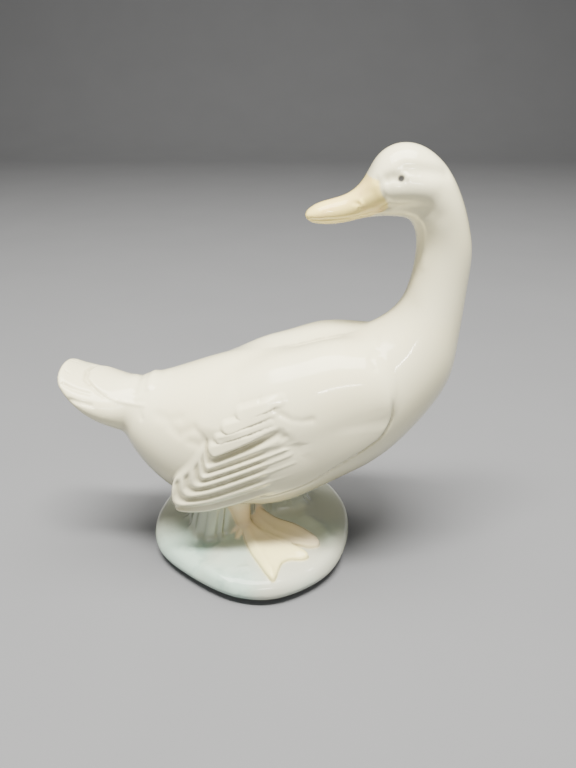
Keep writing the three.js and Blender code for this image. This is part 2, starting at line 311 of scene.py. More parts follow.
# Ovals between two edges in the middle plane, as a field.
class RailLoft:
    SAMPLES = 480
    GUESS_STEP = 1.0
    GUESS_STRIDE = 3
    MARGIN = 8.0
    # Search for a point's section: rounds, longest step in sections, slowest rate.
    ROUNDS = 4
    LONGEST_STEP = 6
    SLOWEST_RATE = 0.03

    def __init__(self, rows, softening, end_rounding):
        curve = soften(row_curve(rows, self.SAMPLES), softening)
        top, bottom = curve[:, 0:2], curve[:, 2:4]
        half = lengths(top - bottom)[:, None] / 2
        self.sections = np.hstack([(top + bottom) / 2, (top - bottom) / (2 * half), half, curve[:, 4:5]])
        self.end_rounding = end_rounding
        edges = np.vstack([top, bottom])
        self.low, self.high = edges.min(axis=0) - self.MARGIN, edges.max(axis=0) + self.MARGIN
        self.guess = self.nearest_sections()

    # For each place of a grid in side view, the section whose line lies nearest.
    def nearest_sections(self):
        size = ((self.high - self.low) / self.GUESS_STEP).astype(int) + 1
        x, z = flat_grid(self.low, size, self.GUESS_STEP)
        best = np.full(x.shape, FARTHEST)
        index = np.zeros(x.shape)
        for i in range(0, self.SAMPLES, self.GUESS_STRIDE):
            x0, z0, up_x, up_z, half, _ = self.sections[i]
            dx, dz = x - x0, z - z0
            past = np.maximum(np.abs(dx * up_x + dz * up_z) - half, 0)
            gap = (dx * up_z - dz * up_x) ** 2 + past**2
            closer = gap < best
            best = np.where(closer, gap, best)
            index = np.where(closer, i, index)
        return index

    def at(self, u):
        i = np.clip(u.astype(int), 0, self.SAMPLES - 2)
        t = (u - i)[:, None]
        return self.sections[i] * (1 - t) + self.sections[i + 1] * t

    # How far a point lies ahead of its section's plane.
    def ahead(self, u, x, z):
        section = self.at(u)
        return (x - section[:, 0]) * section[:, 3] - (z - section[:, 1]) * section[:, 2]

    # Section number of each point, and how far it lies past either end.
    def locate(self, x, z):
        cell = ((np.stack([x, z]) - self.low[:, None]) / self.GUESS_STEP + 0.5).astype(int)
        i, j = (np.clip(cell[k], 0, self.guess.shape[k] - 1) for k in (0, 1))
        u = self.guess[i, j]
        last = self.SAMPLES - 1
        for _ in range(self.ROUNDS):
            probe = np.where(u < last - 1, 1.0, -1.0)
            here = self.ahead(u, x, z)
            rate = (here - self.ahead(u + probe, x, z)) * probe
            step = here / np.maximum(rate, self.SLOWEST_RATE)
            u = np.clip(u + np.clip(step, -self.LONGEST_STEP, self.LONGEST_STEP), 0, last)
        here = self.ahead(u, x, z)
        spacing = lengths(np.diff(self.sections[:, 0:2], axis=0)).mean()
        past_start = np.where(u <= 0, -here, -u * spacing)
        past_end = np.where(u >= last, here, (u - last) * spacing)
        return u, np.maximum(past_start, past_end)

    def __call__(self, p):
        x, y, z = p.T
        u, past = self.locate(x, z)
        x0, z0, up_x, up_z, half, width = self.at(u).T
        along = (x - x0) * up_x + (z - z0) * up_z
        ratio = np.maximum(np.hypot(along / half, y / width), SMALLEST)
        steepness = np.maximum(np.hypot(along / half**2, y / width**2) / ratio, SMALLEST)
        return meet((ratio - 1) / steepness, past, self.end_rounding)


# Edge of the row of coverts over the tail fan: distance from the middle, x.
COVERT_EDGE = [(0, -63.8), (6, -62.8), (9.3, -59.8), (10.8, -57.3), (11.7, -55), (13, -50)]
COVERT_RISE = 0.8
# The coverts rise within this stretch of x at their edge, and fade between these x and heights.
COVERT_STEP_X = (-0.7, 0.7)
COVERT_FADE_X = (-60, -46)
COVERT_FADE_Z = (68, 73)


def covert_height(p):
    x, y, z = p.T
    rise = ramp(*COVERT_STEP_X, x - look_up(np.abs(y), COVERT_EDGE))
    return COVERT_RISE * rise * (1 - ramp(*COVERT_FADE_X, x)) * ramp(*COVERT_FADE_Z, z)


# Folded wing on both sides of the body.
class Wing:
    def __init__(self):
        self.curve = soften(row_curve(WING_ROWS, count=400), samples=5)
        self.border = OutlineMap(closed_curve(WING_OUTLINE, count=200), (-46, 18), (60, 112), 0.4)
        self.carved = False

    def __call__(self, p, goose):
        x, y, z = p.T
        across = (np.interp(x, self.curve[:, 0], column) for column in self.curve[:, 1:].T)
        top, bottom, half_width, centre = across
        half_height = (top - bottom) / 2
        up = (z - (top + bottom) / 2) / half_height
        out = (np.abs(y) - centre) / half_width
        power = np.where(up < 0, WING_FULLNESS["below"], WING_FULLNESS["above"])
        ratio = np.maximum((np.abs(up) ** power + np.abs(out) ** power) ** (1 / power), SMALLEST)
        lean_up = (np.abs(up) / ratio) ** (power - 1) / half_height
        lean_out = (np.abs(out) / ratio) ** (power - 1) / half_width
        swell = (ratio - 1) / np.maximum(np.hypot(lean_up, lean_out), SMALLEST)
        if self.carved:
            swell += long_feather_depth(x, z)
        border = self.border(x, z)
        proud = (1 - ramp(*PLATE["z"], z)) * ramp(*PLATE["x"], x)
        plate = goose + PLATE["sink"] - (PLATE["sink"] + PLATE["rise"]) * proud
        swell, plate = (meet(field, border, WING_EDGE_ROUNDING) for field in (swell, plate))
        return join(swell, plate, PLATE["fillet"])


# Depth of the valley between rounded ridges; the offset from a ridge's crest is in ridge widths.
def valley(offset, depth, return_width):
    flank = 0.5 - 0.5 * np.cos(2 * np.pi * np.minimum(offset, 0.5))
    return depth * flank * (1 - ramp(0.5, 0.5 + return_width, offset))


# How many marks a falling value has passed, with the share of the way to the next one.
def passed(value, marks):
    share = sum(np.clip((a - value) / (a - b), 0, 1) for a, b in zip(marks, marks[1:]))
    return share + np.minimum((marks[0] - value) / (marks[0] - marks[1]), 0)


# Depth of the grooves between the long feathers, and of the hollow beyond their front ends.
def long_feather_depth(x, z):
    flat = np.maximum(FLAT_BEFORE_X - x, 0) ** 2
    *shapes, ends, depths, fronts = np.array(LONG_GROOVES).T
    low = passed(z, [height + rise * x + flattening * flat for height, rise, flattening in zip(*shapes)])
    left = passed(x, ends)
    feather = meet(low, left, rounding=1)
    within = np.clip(feather, 0, len(LONG_GROOVES) - 1)
    across = np.abs(within - np.floor(within) - 0.5) + np.maximum(-feather, 0)
    depth, front = (np.interp(within, range(len(LONG_GROOVES)), column) for column in (depths, fronts))
    depth *= 1 - FRONT_LOSS * ramp(*FRONT_LOSS_X, x - front)
    upturned = np.maximum(ramp(*UPTURN_FADE["feather"], feather), 1 - ramp(*UPTURN_FADE["x"], x))
    fade = 1 - ramp(*UPTURN_FADE["z"], z - look_up(x, UPTURN_TOPS)) * upturned
    from_crest = np.hypot(np.maximum(x - front, 0) / LONG_PITCH, across)
    grooves = valley(from_crest, depth, return_width=0.6) * fade
    beyond = bell((x - front - FRONT_HOLLOW["ahead"]) / FRONT_HOLLOW["half_width"])
    beyond *= ramp(*FRONT_HOLLOW["begins"], feather)
    beyond *= 1 - ramp(*FRONT_HOLLOW["ends"], feather)
    return grooves + FRONT_HOLLOW["depth"] * beyond


# How far the short feathers stand out.
def short_feather_height(p):
    x, y, z = p.T
    side_view = np.stack([x, z], axis=1)
    height = np.zeros(len(p))
    for tip, tip_radius, front, front_radius in SHORT_FEATHERS:
        outside = bar_field(side_view, tip, front, tip_radius, front_radius)
        share = (x - tip[0]) / (front[0] - tip[0])
        rise = SHORT_RISE * (1 - SHORT_LOSS * ramp(*SHORT_LOSS_SHARE, share))
        height = np.maximum(height, rise * (1 - ramp(*SHORT_EDGE, outside)))
    return height * ramp(*SHORT_FLANK_Y, np.abs(y))


# Soft ridges and lumps of the ground. Each: height, half width, plan points.
GROUND_RIDGES = [
    (1.2, 3, [(17.3, 13), (18.2, 6), (18.7, -0.6), (21.1, -3), (24.4, -5.9), (26.2, -9.5), (28.1, -12.4)]),
    (0.6, 2, [(-20.4, -30.7), (-16.2, -34.7), (-11, -38.5)]),
    (0.5, 1.2, [(-17.6, -18.6), (-15.4, -17.4)]),
    (0.45, 1.2, [(-7.2, -31.4), (-4.4, -30.8)]),
    (0.5, 3, [(-35, 2), (-33, -8), (-29, -15)]),
    (0.4, 3, [(22, -30), (29, -20)]),
    (-0.35, 2.5, [(-22, -24), (-14, -29)]),
]
# Two crossing waves of the ground: rates along x and y, start; their height together.
GROUND_WAVES = [(0.21, 0.09, 1), (-0.08, 0.19, 0)]
WAVE_HEIGHT = 0.4
# Heights between which the ground's relief comes in.
GROUND_FADE_Z = (4, 9)


# Base mound with its foot ring, recess and vent hole.
class Base:
    def __init__(self):
        self.plan = OutlineMap(closed_curve(BASE_OUTLINE, count=300), (-58, -54), (50, 56), 0.5)
        rim = np.vstack([row_curve(BASE_RIM, count=160), BASE_UNDERSIDE])
        self.rim = OutlineMap(rim, (-14, -8), (59, 26), 0.2)

    def __call__(self, p):
        x, y, z = p.T
        first, second = (np.sin(across * x + away * y + start) for across, away, start in GROUND_WAVES)
        relief = WAVE_HEIGHT * first * second
        flat = np.stack([x, y], axis=1)
        for height, half_width, points in GROUND_RIDGES:
            relief += height * bell(line_distance(flat, points) / half_width)
        mound = self.rim(-self.plan(x, y), z - relief * ramp(*GROUND_FADE_Z, z))
        vent = np.maximum(np.hypot(x, y) - VENT_RADIUS, z - VENT_TOP_Z)
        return meet(mound, -vent, VENT_ROUNDING)


# Clump of grass under the belly, upright blades around it.
class Clump:
    def __init__(self):
        plan = closed_curve(CLUMP_OUTLINE, count=600)
        along = np.gradient(plan, axis=0)
        outward = np.stack([along[:, 1], -along[:, 0]], axis=1) / lengths(along)[:, None]
        arc = np.cumsum(lengths(along))
        round_share = arc / arc[-1]
        uneven = sum(size * np.sin(waves * np.pi * round_share) for size, waves in BLADE_WAVES)
        turn = round_share * BLADES + uneven
        inset = BLADE_DEPTH * np.cos(np.pi * turn) ** 2
        fluted = plan - outward * inset[:, None]
        self.plan = OutlineMap(fluted, (-42, -27), (31, 39), 0.3)

    def __call__(self, p):
        x, y, z = p.T
        rise = np.clip((z - CLUMP_FOOT_Z) / (CLUMP_TOP_Z - CLUMP_FOOT_Z), *CLUMP_TAPER)
        scale = 1 + (CLUMP_TOP_SCALE - 1) * rise
        side = self.plan(x / scale, y / scale) * scale
        ends = np.maximum(z - CLUMP_TOP_Z, CLUMP_FOOT_Z - CLUMP_SUNK - z)
        return meet(side, ends, CLUMP_ROUNDING)


# Plan outlines of the feet: web and toes together, from the ankle over the outer toe.
NEAR_FOOT = [
    (-10, -4), (-7.6, -10), (-5.8, -16.8), (-3.6, -22.5), (-0.2, -29), (3, -35.4), (5.4, -38.2),
    (6.8, -36.6), (7.8, -32.3), (9.2, -29), (12.4, -27.3), (17, -27), (19, -25.2), (17.4, -22.4),
    (12.6, -19.8), (9, -17.6), (5.2, -15.2), (1.6, -11.3), (-1.3, -8), (-3.8, -3.5), (-8, 0),
]
FAR_FOOT = [
    (-4, 4.5), (0.3, 1.6), (3.7, -0.4), (7.9, -3.1), (12, -5.2), (16.1, -7.7), (20.9, -11.6),
    (23.5, -16), (22.6, -19), (18.5, -19.8), (12.8, -18.6), (9.2, -17.2), (5.5, -14.8), (1.9, -10.9),
    (-1, -7.4), (-3.4, -3.2),
]
# Foot: outline, ankle, toe tips, thickness of the web.
FEET = [
    (NEAR_FOOT, (-6.5, -8), [(5, -36.8), (18, -24.4)], 2.2),
    (FAR_FOOT, (-1.5, 0.5), [(21, -15)], 2.5),
]
# Space round a foot in which it is worked out: margin in plan, heights.
FOOT_MARGIN = 9
FOOT_Z = (6, 22)
# Slanted edge round a web: its width, its drop and the rounding of its rim.
WEB_EDGE = 2.4
WEB_EDGE_DROP = 0.9
WEB_ROUNDING = 0.7
# Rounded ridges on a foot, over the toes and at the ankle: height, half width.
TOE_RIDGE = (0.55, 1.7)
ANKLE_RIDGE = (1.6, 5)
# Leg: hip, ankle, radius at each.
LEGS = [
    ((-9.5, -9, 31), (-6.5, -7.8, 11.5), 6, 2.5),
    ((-6, 8, 31), (-1.5, 1.5, 11.5), 5, 2.6),
]
# Prongs of the small hind toe.
HIND_TOES = [
    ((-6.8, -8.6, 13.3), (-12.6, -11.2, 12), 1.3, 0.7),
    ((-7.6, -9.4, 12.6), (-9, -14.6, 11.4), 1.2, 0.7),
    ((-5, 5, 12.5), (-8.5, 7.5, 11.5), 1.2, 0.7),
]


# Webbed foot that lies on the mound: its top follows the ground at the web's thickness.
class Foot:
    def __init__(self, outline, ankle, tips, thickness):
        plan = closed_curve(outline, count=160)
        low, high = plan.min(axis=0) - FOOT_MARGIN, plan.max(axis=0) + FOOT_MARGIN
        self.plan = OutlineMap(plan, low, high, 0.3)
        self.low, self.high = np.array([*low, FOOT_Z[0]]), np.array([*high, FOOT_Z[1]])
        self.ankle, self.tips, self.thickness = ankle, tips, thickness

    def __call__(self, p, ground):
        flat = p[:, 0:2]
        to_toe = np.minimum.reduce([line_distance(flat, (self.ankle, tip)) for tip in self.tips])
        to_ankle = np.hypot(*(flat - self.ankle).T)
        outside = self.plan(*flat.T)
        top = self.thickness - WEB_EDGE_DROP * np.clip(1 + outside / WEB_EDGE, 0, 1)
        for gap, (height, half_width) in ((to_toe, TOE_RIDGE), (to_ankle, ANKLE_RIDGE)):
            top += height * bell(gap / half_width)
        return meet(ground - top, outside, WEB_ROUNDING)


# Crease just outside the wing's border, with the x, distances from the middle and heights between
# which it begins and ends.
CREASE = {"depth": 0.8, "half_width": 0.7, "outside": 0.4, "x": (-4, 4), "y": (12, 17), "z": (70, 80)}
# Grooves along lines on the near side, mirrored to the far side; a negative depth is a ridge.
# Each: depth, half width, points.
GROOVES = [
    (0.8, 2.4, [(49, -10, 152.4), (52.8, -9.9, 152.2), (58.3, -8.6, 151.4), (62, -6.5, 150.6)]),
    (0.9, 1.8, [(43.2, -9.9, 149.6), (44.6, -10.2, 150.2), (46.4, -10.8, 150.1)]),
    (-0.35, 0.9, [(48.5, -10.8, 151.5), (49.4, -11.2, 150.3)]),
    (-0.6, 3, [(43.4, -11.2, 145.6), (47.7, -11.9, 145.9), (52, -12, 146.4), (57, -11.4, 147)]),
    (1, 2.7, [(45.4, -8.2, 140.2), (50.5, -9.5, 140.4), (55.5, -10.5, 140.2)]),
    (0.4, 3.2, [(57, -10.5, 139.5), (60.5, -10, 138)]),
    (-0.4, 1.3, [(55.6, -8.6, 136.3), (57.2, -7.9, 132.7), (57.6, -6.6, 129), (57.8, -6, 120)]),
    (0.4, 1, [(39.5, -8.2, 149.6), (40.9, -9.9, 148), (41.1, -10.5, 146.2), (42, -10.9, 144.4),
        (43.1, -10.5, 143), (44.2, -8.7, 141.2)]),
    (0.5, 1.3, [(44.2, -8.2, 140.8), (42.4, -7.5, 140.4)]),
    (0.35, 0.55, [(44.3, -7.3, 140.2), (42.4, -6.7, 139.1), (40.5, -6.6, 138.4), (37.3, -5.5, 137.4),
        (34, -5.1, 136.6), (29.7, -5, 136), (23.7, -4.9, 135.6), (19.3, -3.9, 135.5)]),
    (0.5, 0.8, [(33.2, -6, 141.5), (34.1, -6.5, 141.3)]),
    (-0.5, 0.7, [(34.9, -6.9, 142.1), (35.4, -7.1, 141.3), (35, -7, 140.4)]),
    (0.3, 1.6, [(34.8, -5.6, 143.8), (38.6, -7.9, 145.4)]),
    (0.3, 1.3, [(42.1, -14.4, 91.7), (39.7, -18, 89.7), (40.9, -20.6, 87.5)]),
    (0.35, 1.3, [(6.7, -27.9, 75.3), (9.8, -28.7, 73.8), (12.6, -28.8, 72.3), (16.4, -29.2, 72.1),
        (19.4, -30, 72.9)]),
    (0.3, 0.7, [(1.6, -25, 80), (1.4, -26, 77.8)]),
    (0.7, 0.8, [(-70.4, -11, 77.3), (-67.3, -11.9, 76.1), (-64, -12.5, 75.2), (-60.9, -12.4, 74.3)]),
    (0.6, 0.8, [(-67.4, -14.6, 73), (-64, -15.5, 72.2), (-60, -15.4, 71)]),
    (0.8, 0.8, [(-64.4, 0, 78), (-63.6, -6.2, 77.3), (-62, -8, 76.4)]),
    (0.5, 0.9, [(-61.6, -8.4, 76), (-60.2, -9.3, 75), (-57.7, -10.8, 74), (-55.4, -11.7, 73)]),
    (0.3, 0.5, [(-71.2, -4.4, 79.9), (-69.6, -5.2, 79.1)]),
    (0.3, 0.5, [(-71.4, -6.5, 79.2), (-69.9, -6.8, 78.6)]),
    (0.6, 1.6, [(-45.4, -8, 73.4), (-45, 0, 74.4)]),
    (-0.7, 1.6, [(-40.4, -8, 75), (-40.2, 0, 75.8)]),
    (-0.4, 0.9, [(-51, -12.2, 71.6), (-47.9, -11.9, 70.4), (-41.5, -13.1, 69.8)]),
    (0.2, 4, [(15.3, -0.6, 88.8), (27.1, -1, 91.3), (40.5, -8.1, 94.9), (46.8, -10.4, 97.2),
        (51.2, -10.1, 100.9), (54.5, -9.8, 105.2)]),
    (0.4, 2, [(-35.5, -17.6, 68), (-31, -19, 66.8), (-27.4, -20, 68.4)]),
    (0.4, 1.9, [(-30.6, -21.2, 65), (-27.4, -22.9, 63.1), (-22.2, -23.2, 66.1)]),
    (0.4, 1.7, [(-23.8, -24.8, 61.2), (-20.6, -25.5, 60.6), (-18.2, -26.2, 61.9)]),
    (0.3, 1, [(-42.6, -15.2, 67.5), (-42, -15.5, 65.8)]),
]
GROOVE_REACH = 3
EYE = (47.3, -11.1, 150.1)


def in_box(p, low, high):
    return np.all((p > low) & (p < high), axis=1)


def groove_depth(p):
    near = p.copy()
    near[:, 1] = -np.abs(p[:, 1])
    total = np.zeros(len(p))
    for depth, half_width, points in GROOVES:
        points = np.array(points, float)
        reach = GROOVE_REACH * half_width
        close = in_box(near, points.min(axis=0) - reach, points.max(axis=0) + reach)
        if close.any():
            total[close] += depth * bell(line_distance(near[close], points) / half_width)
    return total


# Field value that stands for far away, and how far outside its box a part is still worked out.
FAR = 50.0
FILLET_REACH = 8.0
# Boxes that hold the parts.
BOXES = {
    "goose": ((-56, -30, 20), (78, 30, 162)),
    "tail": ((-77, -18, 52), (-30, 18, 82)),
    "wing": ((-34, -34, 26), (50, 34, 100)),
    "leg": ((-17, -16, 8), (5, 15, 38)),
    "hind_toe": ((-15, -16, 8), (0, 10, 16)),
    "base": ((-46, -42, 0), (38, 43, 12)),
    "clump": ((-32, -18, 5), (21, 30, 36)),
}
FEATHERS_BOX = ((-40, -40, 20), (56, 40, 96))
# Fillets where the parts run together.
FILLETS = {"tail": 3, "clump": 4, "between_feet": 2.4, "feet": 0.5, "between_legs": 2, "hind_toes": 0.8,
           "legs": 1.2, "belly": 1.6}
# The wing's fillet, its growth, and where it grows: along the top and above the rear.
WING_FILLET = 1.1
WING_FILLET_GROWTH = 5
WING_TOP_Z = (62, 88)
WING_REAR_Z = (62, 68)
WING_REAR_X = (-12, 4)


# Field of one part, worked out only near its box.
def near_only(p, part, field):
    low, high = BOXES[part]
    close = in_box(p, np.array(low) - FILLET_REACH, np.array(high) + FILLET_REACH)
    values = np.full(len(p), FAR)
    if close.any():
        values[close] = field(p[close])
    return values


# The whole figurine as one field.
class Figurine:
    # Distance and directions of the four samples that give a point's slope.
    PROBE = 0.12
    CORNERS = np.array([(1, -1, -1), (-1, -1, 1), (-1, 1, -1), (1, 1, 1)], float)

    def __init__(self):
        rows = BODY_ROWS + NECK_ROWS + HEAD_ROWS + BILL_ROWS
        self.goose = RailLoft(rows, softening=5, end_rounding=1.4)
        self.tail = RailLoft(TAIL_ROWS, softening=5, end_rounding=2)
        self.wing = Wing()
        self.base = Base()
        self.clump = Clump()
        self.feet = [Foot(*foot) for foot in FEET]
        self.carved = False

    # From here on the surface has its feathers and grooves.
    def carve(self):
        self.carved = self.wing.carved = True

    def bird(self, p):
        goose = near_only(p, "goose", self.goose)
        tail = near_only(p, "tail", self.tail)
        wing = near_only(p, "wing", lambda q: self.wing(q, self.goose(q)))
        x, z = p[:, 0], p[:, 2]
        rear = ramp(*WING_REAR_Z, z) * (1 - ramp(*WING_REAR_X, x))
        fillet = WING_FILLET + WING_FILLET_GROWTH * np.maximum(ramp(*WING_TOP_Z, z), rear)
        whole = join(join(goose, tail, FILLETS["tail"]), wing, fillet)
        return whole + self.carving(p) if self.carved else whole

    # Depth of the grooves, the crease round the wing and the short feathers that stand out.
    def carving(self, p):
        depth = groove_depth(p)
        close = in_box(p, *FEATHERS_BOX)
        x, y, z = p[close].T
        gap = (self.wing.border(x, z) - CREASE["outside"]) / CREASE["half_width"]
        lower_front = ramp(*CREASE["x"], x) * (1 - ramp(*CREASE["z"], z))
        lower_front *= ramp(*CREASE["y"], np.abs(y))
        depth[close] += CREASE["depth"] * bell(gap) * lower_front
        depth[close] -= short_feather_height(p[close])
        return depth - covert_height(p)

    def limbs(self, p):
        near_leg, far_leg = (near_only(p, "leg", lambda q: bar_field(q, *leg)) for leg in LEGS)
        toes = [near_only(p, "hind_toe", lambda q: bar_field(q, *toe)) for toe in HIND_TOES]
        legs = join(near_leg, far_leg, FILLETS["between_legs"])
        return join(legs, np.minimum.reduce(toes), FILLETS["hind_toes"])

    def parts(self, p):
        bird = self.bird(p)
        limbs = self.limbs(p)
        base = near_only(p, "base", self.base)
        clump = near_only(p, "clump", self.clump)
        feet = np.full(len(p), FAR)
        for foot in self.feet:
            close = in_box(p, foot.low, foot.high)
            if close.any():
                feet[close] = join(feet[close], foot(p[close], base[close]), FILLETS["between_feet"])
        return bird, limbs, base, clump, feet

    def __call__(self, p):
        bird, limbs, base, clump, feet = self.parts(p)
        ground = join(base, clump, FILLETS["clump"])
        stand = join(join(ground, feet, FILLETS["feet"]), limbs, FILLETS["legs"])
        return join(bird, stand, FILLETS["belly"])

    # Field and its slope from four samples around each point.
    def slope(self, p):
        samples = [self(p + self.PROBE * corner) for corner in self.CORNERS]
        gradient = sum(value[:, None] * corner for value, corner in zip(samples, self.CORNERS))
        return sum(samples) / 4, gradient / (4 * self.PROBE)


# A field is sampled on a grid only in blocks of cells near the surface: cells along a block, how
# many blocks away is near, and the points worked out at once.
BLOCK = 4
NEAR_BLOCKS = 1.5
CHUNK = 150000
CORNER_STEPS = list(np.ndindex(2, 2, 2))
PINCH_ROUNDS = 4
PINCH_FILL = 0.1


def evaluate(field, p):
    return np.concatenate([field(p[i:i + CHUNK]) for i in range(0, len(p), CHUNK)])


# Part of a grid, from its low corner and size.
def grid_part(corner, size):
    return tuple(slice(c, c + n) for c, n in zip(corner, size))


def repeat_cells(values, times):
    for axis in range(3):
        values = np.repeat(values, times, axis=axis)
    return values


# Field values on a grid; away from the surface only their sign is right.
def sample_grid(field, low, high, step):
    blocks = np.ceil((high - low) / (step * BLOCK)).astype(int)
    nodes = np.stack(np.indices(blocks + 1), axis=-1)
    coarse = evaluate(field, low + step * BLOCK * nodes.reshape(-1, 3)).reshape(blocks + 1)
    near = np.zeros(blocks, bool)
    for corner in CORNER_STEPS:
        near |= np.abs(coarse[grid_part(corner, blocks)]) < NEAR_BLOCKS * step * BLOCK
    near = np.pad(repeat_cells(near, BLOCK), 1)
    touched = np.zeros(blocks * BLOCK + 1, bool)
    for corner in CORNER_STEPS:
        touched |= near[grid_part(corner, touched.shape)]
    values = repeat_cells(coarse, BLOCK)[grid_part((0, 0, 0), touched.shape)].copy()
    values[touched] = evaluate(field, low + step * np.argwhere(touched))
    return without_pinches(values, step)


# Where inside and outside corners meet diagonally across a grid square, the square is filled.
def without_pinches(values, step):
    for _ in range(PINCH_ROUNDS):
        for axis in range(3):
            rest = [k for k in range(3) if k != axis]
            views = []
            for move in np.ndindex(2, 2):
                part = [slice(None)] * 3
                for k, m in zip(rest, move):
                    part[k] = slice(m, values.shape[k] - 1 + m)
                views.append(values[tuple(part)])
            a, b, c, d = (view < 0 for view in views)
            pinched = (a == d) & (b == c) & (a != b)
            for view in views:
                view[pinched] = np.minimum(view[pinched], -PINCH_FILL * step)
    return values


# Surface nets: one vertex in each cell that the surface crosses, one quad across each crossed edge.
def surface_nets(values, low, step):
    inside = values < 0
    size = np.array(values.shape) - 1
    filled = sum(inside[grid_part(corner, size)].astype(int) for corner in CORNER_STEPS)
    cells = np.argwhere((filled > 0) & (filled < 8))
    number = np.full(size, -1)
    number[tuple(cells.T)] = np.arange(len(cells))
    total = np.zeros((len(cells), 3))
    count = np.zeros(len(cells))
    quads = []
    for along in np.eye(3, dtype=int):
        side = np.roll(along, 1)
        depth = np.roll(along, 2)
        for start in (0 * side, side, depth, side + depth):
            a = values[tuple((cells + start).T)]
            b = values[tuple((cells + start + along).T)]
            crosses = (a < 0) != (b < 0)
            share = np.where(crosses, a / np.where(crosses, a - b, 1), 0)
            total += crosses[:, None] * (start + share[:, None] * along)
            count += crosses
        length = values.shape - along
        edges = np.argwhere(inside[grid_part((0, 0, 0), length)] != inside[grid_part(along, length)])
        ring = [number[tuple((edges + move).T)] for move in (-side - depth, -depth, 0 * side, -side)]
        ring = np.stack(ring, axis=1)
        outward = inside[tuple(edges.T)]
        quads.append(np.where(outward[:, None], ring, ring[:, ::-1]))
    return low + step * (cells + total / count[:, None]), np.concatenate(quads)


# Quads cut in two along their shorter diagonal.
def triangles_of(points, quads):
    a, b, c, d = (points[quads[:, k]] for k in range(4))
    short = lengths(a - c) < lengths(b - d)
    one = np.where(short[:, None], quads[:, [0, 1, 2]], quads[:, [0, 1, 3]])
    two = np.where(short[:, None], quads[:, [0, 2, 3]], quads[:, [1, 2, 3]])
    return np.concatenate([one, two])


# Edges of triangles, each once, and the edge number of each triangle's sides.
def edges_of(triangles):
    sides = np.concatenate([triangles[:, [0, 1]], triangles[:, [1, 2]], triangles[:, [2, 0]]])
    sides = np.sort(sides, axis=1)
    key, of_side = np.unique(sides[:, 0] * (triangles.max() + 1) + sides[:, 1], return_inverse=True)
    edges = np.stack([key // (triangles.max() + 1), key % (triangles.max() + 1)], axis=1)
    return edges, of_side.reshape(3, -1).T


# Sum over each point's neighbours along the edges.
def neighbour_sum(edges, values, count):
    return (np.bincount(edges[:, 0], values[edges[:, 1]], count)
            + np.bincount(edges[:, 1], values[edges[:, 0]], count))


def neighbour_mean(edges, values):
    count = len(values)
    degree = neighbour_sum(edges, np.ones(count), count)
    if values.ndim == 1:
        return neighbour_sum(edges, values, count) / degree
    return np.stack([neighbour_sum(edges, column, count) / degree for column in values.T], axis=1)


LEAST_SLOPE = 0.05


# Points moved onto the surface along the field's slope, and spread evenly within it.
def settle(shape, points, edges, rounds, spread):
    for _ in range(rounds):
        value, slope = shape.slope(points)
        steep = np.maximum((slope**2).sum(axis=1, keepdims=True), LEAST_SLOPE)
        move = -np.clip(value[:, None], -1, 1) * slope / steep
        drift = neighbour_mean(edges, points) - points
        drift -= (drift * slope).sum(axis=1, keepdims=True) * slope / steep
        points = points + move + spread * drift
    return points


# Cuts of a triangle, by how many of its sides are split. Its corners are 0 to 2, the middles of the
# sides that start at them 3 to 5, and it is turned so that the odd side starts at 0.
CUTS = {
    1: [(0, 3, 2), (3, 1, 2)],
    2: [(0, 1, 4), (0, 4, 5), (5, 4, 2)],
    3: [(0, 3, 5), (3, 1, 4), (4, 2, 5), (3, 4, 5)],
}


# Triangles whose edges are longer than the size asked for are split at those edges.
def refine(points, triangles, size_at):
    edges, of_side = edges_of(triangles)
    middle = points[edges].mean(axis=1)
    split = lengths(points[edges[:, 0]] - points[edges[:, 1]]) > size_at(middle)
    number = np.where(split, len(points) + np.cumsum(split) - 1, -1)
    halves = number[of_side]
    marks = (halves >= 0).sum(axis=1)
    result = [triangles[marks == 0]]
    for sides, cuts in CUTS.items():
        corners, middles = triangles[marks == sides], halves[marks == sides]
        odd = middles < 0 if sides == 2 else middles >= 0
        order = (odd.argmax(axis=1)[:, None] + np.arange(3)) % 3
        six = np.hstack([np.take_along_axis(part, order, axis=1) for part in (corners, middles)])
        result += [six[:, cut] for cut in cuts]
    return np.concatenate([points, middle[split]]), np.concatenate(result)


# Boxes that hold fine relief, and the longest edge there, in millimetres.
PLAIN_EDGE = 9.0
FINE_PLACES = [
    ((-34, 20, 28), (20, 40, 82), 0.75),
    ((-76, 0, 56), (-40, 20, 82), 0.9),
    ((16, 0, 132), (50, 12, 156), 0.75),
    ((44, 8, 147), (50, 14, 153), 0.45),
    ((-34, 0, 8.5), (30, 40, 36), 1.0),
    ((36, 8, 45), (52, 32, 96), 1.0),
]


def edge_size(p):
    place = np.stack([p[:, 0], np.abs(p[:, 1]), p[:, 2]], axis=1)
    size = np.full(len(p), PLAIN_EDGE)
    for low, high, edge in FINE_PLACES:
        size = np.where(in_box(place, low, high), np.minimum(size, edge), size)
    return size


GRID_STEP = 1.5
GRID_LOW = np.array((-79.6, -46.4, -4.2))
GRID_HIGH = np.array((81.0, 46.5, 165.0))


# Smooth shape first on an even mesh, then its relief on a mesh that is finer where it needs to be.
def figurine_mesh(shape):
    values = sample_grid(shape, GRID_LOW, GRID_HIGH, GRID_STEP)
    points, quads = surface_nets(values, GRID_LOW, GRID_STEP)
    edges, _ = edges_of(triangles_of(points, quads))
    points = settle(shape, points, edges, rounds=5, spread=0.4)
    triangles = triangles_of(points, quads)
    shape.carve()
    for _ in range(2):
        points, triangles = refine(points, triangles, edge_size)
        edges, _ = edges_of(triangles)
        points = settle(shape, points, edges, rounds=3, spread=0.3)
    points = settle(shape, points, edges, rounds=2, spread=0)
    return points, triangles, edges


